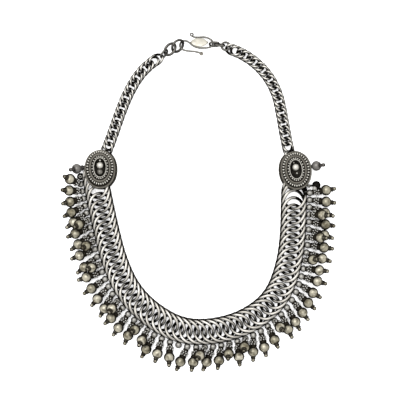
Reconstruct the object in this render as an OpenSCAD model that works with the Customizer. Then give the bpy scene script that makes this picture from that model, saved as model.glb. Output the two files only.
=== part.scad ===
/* [Band] */
// Length of one band ring along the band, measured on the wire's middle line
ring_l = 20; // [19.9:0.1:20.2]
// Width of one band ring across the band, measured on the wire's middle line
ring_w = 14; // [13.8:0.1:14.2]
// Height of the saddle bend that lets each ring lie on the ring before it
ring_twist = 2.2; // [2.15:0.05:2.25]
// Width of the flattened ring wire
ring_wire_w = 1.4; // [1.2:0.05:1.4]
// Thickness of the flattened ring wire
ring_wire_t = 1; // [0.9:0.05:1]

/* [Straps] */
// Length of one strap link, measured on the wire's middle line
link_l = 8.5; // [8.3:0.1:8.6]
// Width of one strap link, measured on the wire's middle line
link_w = 5.4; // [5.3:0.1:5.5]
// Diameter of the strap link wire
link_wire = 1.15; // [0.9:0.05:1.15]

/* [Fringe] */
// Radius of the large ball of a drop
ball_r = 3; // [2.6:0.1:3]
// Radius of the granulated bead of a drop
bead_r = 1.85; // [1.6:0.05:1.85]
// Radius of the small ball next to the loop
small_r = 1.5; // [1.3:0.1:1.5]
// Radius of the ball at the tip of a drop
tip_r = 1.2; // [1:0.1:1.2]
// Radius of the dark bead beside the right medallion
dark_right_r = 2.2; // [1.8:0.1:2.2]
// Radius of the dark bead beside the left medallion
dark_left_r = 1.9; // [1.6:0.1:1.9]

/* [Medallions] */
// Thickness of the back plate
back_t = 0.6; // [0.5:0.1:0.6]
// Thickness of the front plate
front_t = 0.8; // [0.8:0.1:1.2]
// Height of the raised edge round the front plate
rim_h = 0.5; // [0.3:0.1:0.8]
// Radius of the domed ball in the middle
dome_r = 1.95; // [1.5:0.05:2]
// Radius of the granules in the outer row
grain_r = 0.45; // [0.35:0.05:0.45]

/* [Clasp] */
// Diameter of the hook wire
hook_wire = 1; // [0.8:0.05:1]
// Thickness of the leaf hammered on the hook
leaf_t = 0.8; // [0.5:0.1:0.8]

/* [Hidden] */
$fn = 48;

// Middle of the whole collar, which becomes the origin
middle = [0.91, -0.075, 0];

// Course of the band: first ring, heading, and the turn in each 20 mm
band_x = -61.3;
band_y = 12.2;
band_heading = -79;
band_turns = [1, 2.5, 10.5, 20.5, 17, 28, 17, 20.5, 29.5, 14, 7.5, -1];
band_step = 20;
band_rings = 55;
band_pitch = 4.38;
band_z = 2.75;
band_rise = 0.65;
band_reach = 60;
band_half = 28;
band_end = (band_rings - 1) * band_pitch;

// Course of the straps: start, heading, and the turn in each 15 mm
strap_step = 15;
left_strap = [-54.8, 31, 69];
left_turns = [2.5, -3.5, -10, -21, -24];
left_links = 19;
left_first = 0.85;
right_strap = [54.6, 29.1, 103];
right_turns = [-3.5, 2, 19.5, 20, 19];
right_links = 22;
right_first = 2.2;
pair_pitch = 6.95;
pair_gap = 3.04;
link_twist = -1.2;
strap_z = 1.85;
strap_rise = 1.05;
strap_reach = 25;

// How each drop lies: sideways lean along the band, lift above the table
drop_lies = [
    [-39, 53], [-15, 47], [4, 41], [17, 31], [26, 23], [18, 60], [11, 28], [24, 19],
    [18, 68], [8, 2], [23, 2], [1, 66], [-2, 2], [11, 5], [22, 4], [30, 5],
    [19, 65], [1, 32], [10, 6], [20, 6], [-27, 71], [4, 56], [1, 6], [10, 32],
    [19, 35], [0, 0], [-17, 2], [-11, 34], [-45, 63], [-30, 2], [-21, 34], [-24, 62],
    [-13, 33], [-39, 68], [-27, 2], [-19, 3], [-10, 35], [2, 69], [-23, 20], [-24, 6],
    [-21, 6], [-19, 2], [-12, 2], [0, 5], [9, 25], [29, 68], [-12, 5], [-2, 5],
    [5, 51], [-17, 5], [-8, 2], [-1, 47], [-19, 5], [-5, 5], [11, -1]];
bare_ring = 25;

// Distances along a drop, counted from the middle of its small ball
bead_at = 4.4;
ball_at = 9.8;
tip_at = 14.9;
small_at = 2.35;
loop_ring = 0.92;
loop_wire = 0.13;

// Medallions: middle, turn, and the heights of their plates
left_place = [-58.5, 19.2, 0];
right_place = [58.3, 18.5, 7];
front_z = 6.4;
front_top = front_z + front_t;
frame_top = front_top + 0.3;
eye_ring = 1.3;
eye_wire = 0.35;

// Course of the hook wire: turn in each 3 mm
hook_turns = [28, 5, -21, -24, -57, -64, -18, -5, -21, -22, 19, 59, 59, 56, 25, 6, -11, -15];
hook_step = 3;
hook_start = [-3.8, 99.6, -28];
hook_roll = -14.6;
hook_line = [0, 95, 2.36];

function unit(v) = v / norm(v);

// Point and heading after going a distance d along a row of arcs
function walk(turns, step, x, y, h, d, i = 0) =
    let(last = i == len(turns) - 1)
    let(u = last ? d : min(d, step))
    let(k = turns[i] / step)
    let(chord = abs(k) < 0.001 ? u : 360 / PI / k * sin(k * u / 2))
    let(m = h + k * u / 2)
    let(nx = x + chord * cos(m))
    let(ny = y + chord * sin(m))
    (last || d <= step) ? [nx, ny, h + k * u]
        : walk(turns, step, nx, ny, h + k * u, d - step, i + 1);

// Rise towards an end, and its slope
function rise(d, reach, top) = top * pow(max(0, 1 - d / reach), 2);
function slope(d, reach, top) = -2 * top / reach * max(0, 1 - d / reach);

// Middle line of a saddle-shaped ring, and the direction of its wire
function ring_spot(a, l, w, twist) = [l / 2 * sin(a), -w / 2 * cos(a), -twist * sin(2 * a)];
function ring_dir(a, l, w, twist) =
    unit([l / 2 * cos(a), w / 2 * sin(a), -2 * twist * cos(2 * a)]);

// One saddle-shaped ring of flattened wire
module saddle_ring(l, w, wire_w, wire_t, twist, segs) {
    sides = 5;
    points = [for (i = [0 : segs - 1]) for (j = [0 : sides - 1])
        let(a = 360 * i / segs)
        let(f = 360 * j / sides + 90)
        let(t = ring_dir(a, l, w, twist))
        let(thin = unit([0, 0, 1] - t.z * t))
        let(wide = cross(t, thin))
        ring_spot(a, l, w, twist) + wire_w / 2 * cos(f) * wide + wire_t / 2 * sin(f) * thin];
    faces = [for (i = [0 : segs - 1]) for (j = [0 : sides - 1])
        let(k = (i + 1) % segs)
        let(m = (j + 1) % sides)
        let(a = i * sides + j)
        let(b = i * sides + m)
        let(c = k * sides + m)
        let(d = k * sides + j)
        each [[a, b, c], [a, c, d]]];
    polyhedron(points, faces);
}

// Round ring of round wire, standing on the z axis
module wire_ring(ring, wire) {
    rotate_extrude()
        translate([ring, 0])
            circle(wire);
}

// Long link of round wire with straight sides along x
module long_link(ring, straight, wire) {
    for (side = [-1, 1]) {
        translate([side * straight / 2, 0, 0])
            rotate([0, 0, -90 * side])
                rotate_extrude(angle = 180)
                    translate([ring, 0])
                        circle(wire);
        translate([0, side * ring, 0])
            rotate([0, 90, 0])
                cylinder(h = straight, r = wire, center = true);
    }
}

// Rod from the point a to the point b
module rod(a, b, r) {
    v = b - a;
    translate(a)
        rotate([0, acos(v.z / norm(v)), atan2(v.y, v.x)])
            cylinder(h = norm(v), r = r);
}

// Places its children at a ring of the band; x runs along the band, the fringe is at -y
module at_ring(k, tilt = 1) {
    d = k * band_pitch;
    p = walk(band_turns, band_step, band_x, band_y, band_heading, d);
    back = band_end - d;
    z = band_z + rise(d, band_reach, band_rise) + rise(back, band_reach, band_rise);
    s = slope(d, band_reach, band_rise) - slope(back, band_reach, band_rise);
    translate([p.x, p.y, z])
        rotate([0, -atan(s) * tilt, p.z])
            children();
}

module band_rings_from(first, last) {
    for (k = [first : last]) {
        at_ring(k)
            saddle_ring(ring_l, ring_w, ring_wire_w, ring_wire_t, ring_twist, 16);
    }
}

module band_left() {
    color("#8d8b86")
        translate(-middle)
            band_rings_from(0, band_half - 1);
}

module band_right() {
    color("#8d8b86")
        translate(-middle)
            band_rings_from(band_half, band_rings - 1);
}

// Loop that hangs on the outer wire of a band ring
module drop_loop() {
    translate([0, -ring_w / 2, 0])
        rotate([0, 90 + atan(4 * ring_twist / ring_l), 0])
            wire_ring(loop_ring, loop_wire);
}

// Stems, granulated bead, large ball and tip, from the middle of the small ball along z
module drop_body() {
    cylinder(h = 3.2, r = 0.7);
    translate([0, 0, bead_at])
        sphere(bead_r);
    translate([0, 0, bead_at])
        cylinder(h = 4, r = 1);
    translate([0, 0, ball_at])
        sphere(ball_r);
    translate([0, 0, ball_at + 2])
        cylinder(h = tip_at - ball_at - 2, r = 0.9);
    translate([0, 0, tip_at])
        sphere(tip_r);
}

// One drop of the fringe, hung on ring k
module drop(k) {
    lean = drop_lies[k][0];
    lift = drop_lies[k][1];
    at_ring(k)
        drop_loop();
    at_ring(k, 0)
        translate([0, -ring_w / 2 - small_at, 0]) {
            sphere(small_r);
            if (k != bare_ring)
                rotate([90 - lift, 0, lean])
                    drop_body();
        }
}

module fringe_left() {
    color("#9a968a")
        translate(-middle)
            for (k = [0 : band_half - 1])
                drop(k);
}

module fringe_right() {
    color("#9a968a")
        translate(-middle)
            for (k = [band_half : band_rings - 1])
                drop(k);
}

module strap(start, turns, links, first) {
    for (k = [0 : links - 1]) {
        d = first + pair_pitch * floor(k / 2) + pair_gap * (k % 2);
        p = walk(turns, strap_step, start.x, start.y, start.z, d);
        z = strap_z + rise(d, strap_reach, strap_rise);
        s = slope(d, strap_reach, strap_rise);
        translate([p.x, p.y, z])
            rotate([0, -atan(s), p.z])
                saddle_ring(link_l, link_w, link_wire, link_wire, link_twist, 12);
    }
}

module strap_left() {
    color("#77756f")
        translate(-middle)
            strap(left_strap, left_turns, left_links, left_first);
}

module strap_right() {
    color("#77756f")
        translate(-middle)
            strap(right_strap, right_turns, right_links, right_first);
}

// Oval outline with full ends
module oval(a, b) {
    full = 0.94;
    polygon([for (i = [0 : 39])
        let(c = cos(9 * i + 4.5))
        let(s = sin(9 * i + 4.5))
        [a * sign(c) * pow(abs(c), full), b * sign(s) * pow(abs(s), full)]]);
}

// Oval frame between two outlines, standing from height z up to top
module oval_frame(a, b, thick, z, top) {
    translate([0, 0, z])
        linear_extrude(top - z)
            difference() {
                oval(a, b);
                oval(a - thick, b - thick);
            }
}

// Row of granules set round an oval
module grain_row(count, a, b, r, z, h) {
    for (i = [0 : count - 1]) {
        t = 360 * (i + 0.5) / count;
        translate([a * cos(t), b * sin(t), z])
            cylinder(h = h, r = r, $fn = 16);
    }
}

// Half ball standing on the plate
module dome(r, z) {
    translate([0, 0, z])
        intersection() {
            sphere(r);
            cylinder(h = 2 * r, r = 2 * r);
        }
}

// Front plate with its edge, and with its granule rows, sloping frame and hollow middle,
// which sit a little above the middle of the plate
module medallion_front(up) {
    translate([0, 0, front_z])
        linear_extrude(front_t)
            difference() {
                oval(9.25, 11.4);
                translate([0, up + 0.2])
                    oval(3.5, 5.5);
            }
    translate([0, up + 0.2, front_z])
        linear_extrude(0.4)
            oval(3.8, 5.8);
    oval_frame(9.25, 11.4, 0.5, front_top - 0.1, front_top + rim_h);
    oval_frame(8.5, 10.7, 0.25, front_top - 0.1, front_top + 0.25);
    translate([0, up, 0]) {
        grain_row(36, 7.5, 9.6, grain_r, front_top - 0.1, 0.5);
        oval_frame(6.9, 9, 1.6, front_top - 0.1, frame_top);
    }
    translate([0, up + 0.2, 0])
        grain_row(26, 4.3, 6.3, 0.38, front_top - 0.1, 0.6);
}

// Back plate with the wall that carries the front plate; open where the strap enters
module medallion_case(open_from, open_to) {
    linear_extrude(back_t)
        oval(9.9, 12);
    translate([0, 0, back_t / 2])
        linear_extrude(front_z - back_t / 2 + 0.1)
            difference() {
                oval(8.9, 11.3);
                oval(8.1, 10.5);
                translate([-10, -16.4])
                    square([20, 20]);
                translate([open_from, 6])
                    square([open_to - open_from, 8]);
            }
}

// Eye hung under the front plate, its ring round a wire that runs with the heading
module plate_eye(spot, heading, dip) {
    over = eye_ring * cos(dip);
    translate(spot)
        rotate([0, 0, heading]) {
            rotate([0, 90 + dip, 0])
                wire_ring(eye_ring, eye_wire);
            translate([eye_ring * sin(dip), 0, over])
                cylinder(h = front_z - spot.z - over + 0.1, r = 0.3);
        }
}

// Eye that stands on the back plate, open towards the medallion's long side
module side_eye(spot) {
    translate(spot)
        rotate([90, 0, 0])
            wire_ring(eye_ring, eye_wire);
    translate([spot.x, spot.y, back_t / 2])
        cylinder(h = spot.z - eye_ring - back_t / 2, r = 0.3);
}

module medallion_left() {
    color("#6f6d68")
        translate(-middle) {
            translate([left_place.x, left_place.y, 0])
                rotate([0, 0, left_place.z]) {
                    medallion_case(-1, 8.2);
                    medallion_front(0.9);
                    translate([0, 2.3, 0])
                        dome(dome_r, front_z + 0.3);
                    translate([0, -1.4, 0])
                        dome(1.5, front_z + 0.3);
                    translate([0, 5.2, 0])
                        dome(0.6, front_z + 0.3);
                    side_eye([-7.3, 1.5, 2.6]);
                }
            plate_eye([-63.2, 22, 3.6], 11, 32);
            plate_eye([-56, 27.8, 3.2], -21, 42);
        }
}

module medallion_right() {
    color("#6f6d68")
        translate(-middle) {
            translate([right_place.x, right_place.y, 0])
                rotate([0, 0, right_place.z]) {
                    medallion_case(-8.2, 1.8);
                    medallion_front(0.5);
                    translate([0, 1.9, 0])
                        dome(dome_r, front_z + 0.3);
                    translate([0.3, -1.7, 0])
                        dome(0.6, front_z + 0.3);
                    translate([-0.8, 4.7, 0])
                        dome(0.6, front_z + 0.3);
                    plate_eye([4.9, 1.2, 2.9], 90, 0);
                }
            plate_eye([57.8, 15.5, 3.6], -2, 32);
            plate_eye([55.1, 27.1, 3.2], 13, 42);
        }
}

// Drop on the side of a medallion, pointing along x and lifted to an angle from upright
module side_drop(lift) {
    wire_ring(loop_ring, 0.25);
    translate([2.4, 0, 0]) {
        sphere(bead_r);
        rotate([0, lift, 0]) {
            cylinder(h = 4, r = 1);
            translate([0, 0, 5])
                sphere(ball_r);
            translate([0, 0, 7])
                cylinder(h = 3, r = 0.9);
            translate([0, 0, 10.1])
                sphere(tip_r);
        }
    }
}

module side_drop_left() {
    color("#9a968a")
        translate(-middle)
            translate([left_place.x, left_place.y, 0])
                translate([-8.6, 1.5, 2.6])
                    rotate([0, 0, 193])
                        side_drop(38);
}

module side_drop_right() {
    color("#9a968a")
        translate(-middle)
            translate([right_place.x, right_place.y, 0])
                rotate([0, 0, right_place.z])
                    translate([6.25, 1.2, 2.9])
                        side_drop(49);
}

// Loop round the wire of ring k at the angle a
module bead_loop(k, a) {
    t = ring_dir(a, ring_l, ring_w, ring_twist);
    at_ring(k)
        translate(ring_spot(a, ring_l, ring_w, ring_twist))
            rotate([0, acos(t.z), atan2(t.y, t.x)])
                wire_ring(loop_ring, loop_wire);
}

module dark_bead_left() {
    color("#26241f")
        translate(-middle) {
            translate([-70.5, 14.9, 2.9])
                sphere(dark_left_r);
            rod([-68.93, 14.92, 4.52], [-70.5, 14.9, 2.9], 0.35);
            bead_loop(0, -22.5);
        }
}

module dark_bead_right() {
    color("#26241f")
        translate(-middle) {
            bead_loop(band_rings - 1, 22.5);
            rod([64.95, 9.45, 2.1], [66.4, 9.3, 2.6], 0.4);
            translate([66.4, 9.3, 2.6])
                rotate([0, 52, 7]) {
                    sphere(1.1);
                    cylinder(h = 5, r = 0.6);
                    translate([0, 0, 5.2]) {
                        sphere(dark_right_r);
                        translate([-2, -1.4, -0.3])
                            sphere(1.25);
                    }
                }
        }
}

// One arc or straight of the hook wire, starting at the origin along x
module wire_piece(turn, length, r) {
    bend = 180 / PI * length / turn;
    if (turn > 0)
        translate([0, bend, 0])
            rotate([0, 0, -90])
                rotate_extrude(angle = turn)
                    translate([bend, 0])
                        circle(r);
    else
        translate([0, bend, 0])
            rotate([0, 0, 90 + turn])
                rotate_extrude(angle = -turn)
                    translate([-bend, 0])
                        circle(r);
}

// Bent wire of the hook with its curl, its leaf and its flattened end
module hook_shape() {
    for (i = [0 : len(hook_turns) - 1]) {
        p = walk(hook_turns, hook_step, hook_start.x, hook_start.y, hook_start.z, i * hook_step);
        translate([p.x, p.y, 0])
            rotate([0, 0, p.z])
                wire_piece(hook_turns[i], hook_step, hook_wire / 2);
    }
    last = walk(hook_turns, hook_step, hook_start.x, hook_start.y, hook_start.z,
        len(hook_turns) * hook_step);
    translate([last.x, last.y, 0])
        cylinder(h = leaf_t, r = 1.2, center = true);
    translate([-3.9, 100.7, 0])
        wire_ring(0.9, 0.42);
    translate([0.6, 94.7, 0])
        linear_extrude(leaf_t, center = true)
            intersection() {
                translate([0, 4.73])
                    circle(7.33, $fn = 96);
                translate([0, -4.73])
                    circle(7.33, $fn = 96);
            }
}

module s_hook() {
    color("#b9b4a6")
        translate(hook_line - middle)
            rotate([hook_roll, 0, 0])
                translate([0, -hook_line.y, 0])
                    hook_shape();
}

module link_left() {
    color("#55534e")
        translate([-20.5, 88.7, 2.1] - middle)
            rotate([57.2, 3.8, 50.2])
                long_link(1.75, 2, 0.55);
}

module ring_left_1() {
    color("#6b6965")
        translate([-16.9, 91.2, 3.6] - middle)
            rotate([-26.4, -33.4, 8.2])
                wire_ring(3.95, 0.65);
}

module ring_left_2() {
    color("#6b6965")
        translate([-12.3, 93.1, 4] - middle)
            rotate([38.8, 42.2, 6.2])
                wire_ring(3.95, 0.65);
}

module link_right_1() {
    color("#55534e")
        translate([9.7, 94.4, 2.5] - middle)
            rotate([54.8, 0.4, 0.5])
                long_link(1.65, 2.4, 0.55);
}

module link_right_2() {
    color("#55534e")
        translate([12.8, 94.1, 2.1] - middle)
            rotate([-65.7, -0.1, -8.9])
                long_link(1.65, 2.6, 0.55);
}

module ring_right() {
    color("#55534e")
        translate([16.5, 93.3, 1.9] - middle)
            rotate([-9.7, 6, 0.1])
                wire_ring(2.5, 0.55);
}

s_hook();
ring_left_1();
ring_left_2();
link_left();
link_right_1();
link_right_2();
ring_right();
strap_left();
strap_right();
medallion_left();
medallion_right();
side_drop_left();
side_drop_right();
dark_bead_left();
dark_bead_right();
band_left();
band_right();
fringe_left();
fringe_right();
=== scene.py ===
import math

import bmesh
import bpy
from mathutils import Euler, Matrix, Vector


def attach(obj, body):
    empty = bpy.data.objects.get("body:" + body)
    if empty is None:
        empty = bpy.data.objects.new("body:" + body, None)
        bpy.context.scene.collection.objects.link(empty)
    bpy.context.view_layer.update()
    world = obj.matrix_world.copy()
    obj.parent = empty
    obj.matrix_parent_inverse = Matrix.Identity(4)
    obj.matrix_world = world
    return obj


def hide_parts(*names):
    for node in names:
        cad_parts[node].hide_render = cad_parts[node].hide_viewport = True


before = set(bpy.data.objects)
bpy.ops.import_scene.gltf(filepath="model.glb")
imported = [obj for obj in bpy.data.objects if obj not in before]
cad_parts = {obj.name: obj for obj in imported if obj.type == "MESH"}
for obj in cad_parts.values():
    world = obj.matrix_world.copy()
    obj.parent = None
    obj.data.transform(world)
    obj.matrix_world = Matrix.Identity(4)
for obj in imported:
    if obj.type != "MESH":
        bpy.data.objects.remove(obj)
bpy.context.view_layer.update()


# Collar band
# The band is a flat chain of saddle-shaped rings of flattened silver wire.
# Each ring was threaded through its neighbours and soldered shut. Its wire is painted bright on its upper
# side and dark on its sides as painted light and shade, and painted nearly black, as shade and blackening,
# where the rings lie against each other.

# Sizes are millimetres of the drawing, where MIDDLE is the point under the collar's middle.
MM = 0.001
MIDDLE = Vector((0.91, -0.075, 0.0))

BAND = {
    "start": (-61.3, 12.2, -79.0),
    "step": 20.0,
    "turns": (1, 2.5, 10.5, 20.5, 17, 28, 17, 20.5, 29.5, 14, 7.5, -1),
}
BAND_RINGS = 55
BAND_SIDES = {"left": range(28), "right": range(28, BAND_RINGS)}
BAND_PITCH = 4.38
BAND_HEIGHT = 2.75
BAND_RISE = 0.65
BAND_REACH = 60.0
RING_LENGTH = 20.0
RING_WIDTH = 14.0
RING_BEND = 2.2
RING_WIRE = (1.8, 1.1)
WIRE_FULL = 0.85
GRAIN_DEPTH = 0.04
# Painted shade, partly blackening: near black where the wire dips under its neighbours, and very dark on
# the wire's sides.
SHADE_AND_TARNISH_BLACK = (0.004, 0.0035, 0.003)
BAND_SIDE_SHADE = (0.013, 0.012, 0.010)
BAND_DULL = (0.31, 0.296, 0.268)
BAND_BRIGHT = (0.46, 0.442, 0.408)


def walk(course, distance):
    """Place and heading after a distance along a row of equal arcs, in millimetres."""
    x, y, heading = course["start"]
    heading = math.radians(heading)
    for number, turn in enumerate(course["turns"]):
        last = number == len(course["turns"]) - 1
        length = distance if last else min(distance, course["step"])
        bend = math.radians(turn) / course["step"]
        chord = length
        if abs(bend) > 0.00001:
            chord = 2 / bend * math.sin(bend * length / 2)
        middle = heading + bend * length / 2
        x += chord * math.cos(middle)
        y += chord * math.sin(middle)
        heading += bend * length
        distance -= length
        if distance <= 0 and not last:
            break
    return x, y, heading


def rise(distance, reach, top):
    """Height gained towards an end, and its slope."""
    left = max(0.0, 1 - distance / reach)
    return top * left * left, -2 * top / reach * left


def band_spot(number):
    """Middle of a band ring, its heading and its tilt; both ends rise to the medallions."""
    distance = number * BAND_PITCH
    x, y, heading = walk(BAND, distance)
    near, near_slope = rise(distance, BAND_REACH, BAND_RISE)
    back = (BAND_RINGS - 1) * BAND_PITCH - distance
    far, far_slope = rise(back, BAND_REACH, BAND_RISE)
    place = Vector((x, y, BAND_HEIGHT + near + far)) - MIDDLE
    return place, heading, -math.atan(near_slope - far_slope)


class Term:
    """A value in a node tree; Python's operators on it add Math nodes."""

    def __init__(self, tree, socket):
        self.tree = tree
        self.socket = socket

    def math(self, operation, *others):
        bench = Bench(self.tree)
        return bench.add("ShaderNodeMath", {"operation": operation}, dict(enumerate((self,) + others)))

    def __add__(self, other):
        return self.math("ADD", other)

    def __sub__(self, other):
        return self.math("SUBTRACT", other)

    def __mul__(self, other):
        return self.math("MULTIPLY", other)

    def __truediv__(self, other):
        return self.math("DIVIDE", other)

    def __rsub__(self, other):
        return (self * -1.0).math("ADD", other)

    __radd__ = __add__
    __rmul__ = __mul__

    def size(self):
        return self.math("ABSOLUTE")

    def power(self, power):
        """The value raised to a power, with its sign kept."""
        return self.math("SIGN") * self.size().math("POWER", power)

    def between(self, low, high):
        """Smooth step from 0 at low to 1 at high."""
        bench = Bench(self.tree)
        return bench.add(
            "ShaderNodeMapRange",
            {"interpolation_type": "SMOOTHSTEP"},
            {"Value": self, "From Min": low, "From Max": high},
        )


class Bench:
    """Adds nodes to one tree."""

    def __init__(self, tree):
        self.tree = tree

    def add(self, kind, settings=None, sockets=None, out=0):
        """Adds a node with its settings and the values or links of its sockets."""
        made = self.tree.nodes.new(kind)
        for name, value in (settings or {}).items():
            setattr(made, name, value)
        for name, value in (sockets or {}).items():
            if isinstance(name, int):
                place = made.inputs[name]
            else:
                place = next(s for s in made.inputs if name in (s.name, s.identifier) and s.enabled)
            if isinstance(value, list):
                for each in value:
                    self.tree.links.new(each.socket, place)
            elif isinstance(value, Term):
                self.tree.links.new(value.socket, place)
            else:
                place.default_value = value
        return Term(self.tree, made.outputs[out]) if made.outputs else made

    def part(self, vector, axis):
        """One coordinate of a vector: 0 is x, 1 is y, 2 is z."""
        return self.add("ShaderNodeSeparateXYZ", sockets={0: vector}, out=axis)

    def place(self, axis):
        """One coordinate of the points of a shape."""
        return self.part(self.add("GeometryNodeInputPosition"), axis)

    def vector(self, x, y, z):
        return self.add("ShaderNodeCombineXYZ", sockets={"X": x, "Y": y, "Z": z})

    def mix(self, share, first, second):
        """Colour between two colours."""
        sockets = {"Factor_Float": share}
        for name, value in (("A_Color", first), ("B_Color", second)):
            sockets[name] = value if isinstance(value, Term) else (*value, 1.0)
        return self.add("ShaderNodeMix", {"data_type": "RGBA"}, sockets, out=2)

    def attribute(self, name):
        return self.add("ShaderNodeAttribute", {"attribute_name": name}, out=2)

    def mottle(self, scale, detail=3.0):
        """Soft noise that stays with the piece."""
        spot = self.add("ShaderNodeTexCoord", out=3)
        return self.add(
            "ShaderNodeTexNoise",
            sockets={"Vector": spot, "Scale": scale, "Detail": detail},
        )

    def waver(self, amount, scale, detail=3.0):
        """Soft noise about zero, as wide as the amount."""
        return (self.mottle(scale, detail) - 0.5) * amount


def metal(name, colour, rough, grain, sheen):
    """Tarnished metal with a fine grain; faces that look down shine less."""
    material = bpy.data.materials.new(name)
    material.use_nodes = True
    material.node_tree.nodes.clear()
    bench = Bench(material.node_tree)
    relief = bench.add("ShaderNodeBump", sockets={
        "Strength": 0.6,
        "Distance": GRAIN_DEPTH * MM,
        "Height": bench.mottle(*grain),
    })
    body = bench.add("ShaderNodeBsdfPrincipled", sockets={
        "Base Color": colour(bench),
        "Roughness": rough(bench),
        "Metallic": bench.attribute("top").between(0.1, 0.6) * sheen,
        "Specular IOR Level": 0.0,
        "Specular Tint": (0.12, 0.115, 0.11, 1.0),
        "Normal": relief,
    })
    bench.add("ShaderNodeOutputMaterial", sockets={"Surface": body})
    return material


def new_tree(name, sizes):
    """Geometry tree with a geometry input, named sizes and a metal; lengths are in metres."""
    tree = bpy.data.node_groups.new(name, "GeometryNodeTree")
    face = tree.interface
    face.new_socket("Spots", in_out="INPUT", socket_type="NodeSocketGeometry")
    for label, value in sizes.items():
        kind = "NodeSocketInt" if isinstance(value, int) else "NodeSocketFloat"
        face.new_socket(label, in_out="INPUT", socket_type=kind).default_value = value
    face.new_socket("Metal", in_out="INPUT", socket_type="NodeSocketMaterial")
    face.new_socket("Made", in_out="OUTPUT", socket_type="NodeSocketGeometry")
    given = tree.nodes.new("NodeGroupInput")
    terms = {socket.name: Term(tree, socket) for socket in given.outputs if socket.name}
    return Bench(tree), terms


def keep_value(bench, shape, name, value, domain="POINT"):
    """Stores a number on each point or instance of a shape."""
    return bench.add(
        "GeometryNodeStoreNamedAttribute",
        {"data_type": "FLOAT", "domain": domain},
        {"Geometry": shape, "Name": name, "Value": value},
    )


def named_value(bench, name, kind):
    """Number or vector that was stored on a shape."""
    return bench.add("GeometryNodeInputNamedAttribute", {"data_type": kind}, {"Name": name})


def close_tree(bench, given, shape):
    """Ends a tree: real mesh, smooth, with its metal; "top" tells how far a face looks up."""
    real = bench.add("GeometryNodeRealizeInstances", sockets={"Geometry": shape})
    normal = bench.add("GeometryNodeInputNormal")
    real = keep_value(bench, real, "top", bench.part(normal, 2))
    smooth = bench.add("GeometryNodeSetShadeSmooth", sockets={"Geometry": real})
    done = bench.add(
        "GeometryNodeSetMaterial",
        sockets={"Geometry": smooth, "Material": given["Metal"]},
    )
    bench.add("NodeGroupOutput", sockets={0: done})
    return bench.tree


def set_out(bench, given, shape):
    """Ends a tree with a copy of a shape at each spot, turned as the spot says.

    "own" is a number between 0 and 1 that differs by copy.
    """
    lie = named_value(bench, "lie", "FLOAT_VECTOR")
    turn = bench.add("FunctionNodeEulerToRotation", sockets={0: lie})
    copies = bench.add(
        "GeometryNodeInstanceOnPoints",
        sockets={"Points": given["Spots"], "Instance": shape, "Rotation": turn},
    )
    chance = bench.add(
        "FunctionNodeRandomValue",
        {"data_type": "FLOAT"},
        {"Min": 0.0, "Max": 1.0, "Seed": 7},
        out=1,
    )
    return close_tree(bench, given, keep_value(bench, copies, "own", chance, "INSTANCE"))


def circle(bench, steps, radius):
    return bench.add(
        "GeometryNodeCurvePrimitiveCircle",
        sockets={"Resolution": steps, "Radius": radius},
    )


def sweep(bench, line, section):
    """Draws a section along a line."""
    return bench.add(
        "GeometryNodeCurveToMesh",
        sockets={"Curve": line, "Profile Curve": section},
    )


def saddle_ring_tree():
    """Rings of flattened wire, bent to a saddle, one at each spot.

    "layer" goes from -1 where the wire dips under its neighbours to 1 where it lies over
    them, and "edge" from 0 along the chain's middle to 1 at its two sides.
    """
    bench, given = new_tree("saddle rings", {
        "Length": 0.015,
        "Width": 0.014,
        "Bend": 0.0022,
        "Wire Width": 0.0014,
        "Wire Thickness": 0.0011,
        "Steps": 56,
        "Sides": 10,
    })
    x = bench.place(0)
    y = bench.place(1)
    saddle = bench.vector(
        x * given["Length"] * 0.5,
        y * given["Width"] * 0.5,
        x * y * given["Bend"] * 2.0,
    )
    line = circle(bench, given["Steps"], 1.0)
    line = keep_value(bench, line, "layer", x * y * given["Bend"].math("SIGN") * 2.0)
    line = keep_value(bench, line, "edge", y.size())
    line = bench.add("GeometryNodeSetPosition", sockets={"Geometry": line, "Position": saddle})
    line = bench.add("GeometryNodeSetCurveNormal", {"mode": "Z_UP"}, {"Curve": line})
    flattened = bench.vector(
        x.power(WIRE_FULL) * given["Wire Width"] * 0.5,
        y.power(WIRE_FULL) * given["Wire Thickness"] * 0.5,
        0.0,
    )
    section = bench.add("GeometryNodeSetPosition", sockets={
        "Geometry": circle(bench, given["Sides"], 1.0),
        "Position": flattened,
    })
    return set_out(bench, given, sweep(bench, line, section))


def spots_mesh(name, spots):
    """Points, each with the turn of what stands on it."""
    mesh = bpy.data.meshes.new(name)
    mesh.from_pydata([place * MM for place, turn in spots], [], [])
    lie = mesh.attributes.new("lie", "FLOAT_VECTOR", "POINT")
    for number, (place, turn) in enumerate(spots):
        lie.data[number].vector = turn
    return mesh


def grown(piece, tree, values):
    """Plain mesh that a tree makes of a piece."""
    maker = piece.modifiers.new("making", "NODES")
    maker.node_group = tree
    for item in tree.interface.items_tree:
        if item.in_out == "INPUT" and item.name in values:
            maker[item.identifier] = values[item.name]
    graph = bpy.context.evaluated_depsgraph_get()
    graph.update()
    plain = bpy.data.meshes.new_from_object(
        piece.evaluated_get(graph),
        preserve_all_data_layers=True,
        depsgraph=graph,
    )
    piece.modifiers.clear()
    plain.name = piece.name
    return plain


def build(name, mesh, material, replaces=(), tree=None, sizes=None):
    """Makes a piece of a mesh, or of what a tree makes of it, and hands it to the frame."""
    piece = bpy.data.objects.new(name, mesh)
    bpy.context.scene.collection.objects.link(piece)
    if tree is not None:
        piece.data = grown(piece, tree, {**(sizes or {}), "Metal": material})
    if not piece.data.materials:
        piece.data.materials.append(material)
    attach(piece, "root")
    if replaces:
        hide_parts(*replaces)


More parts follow.
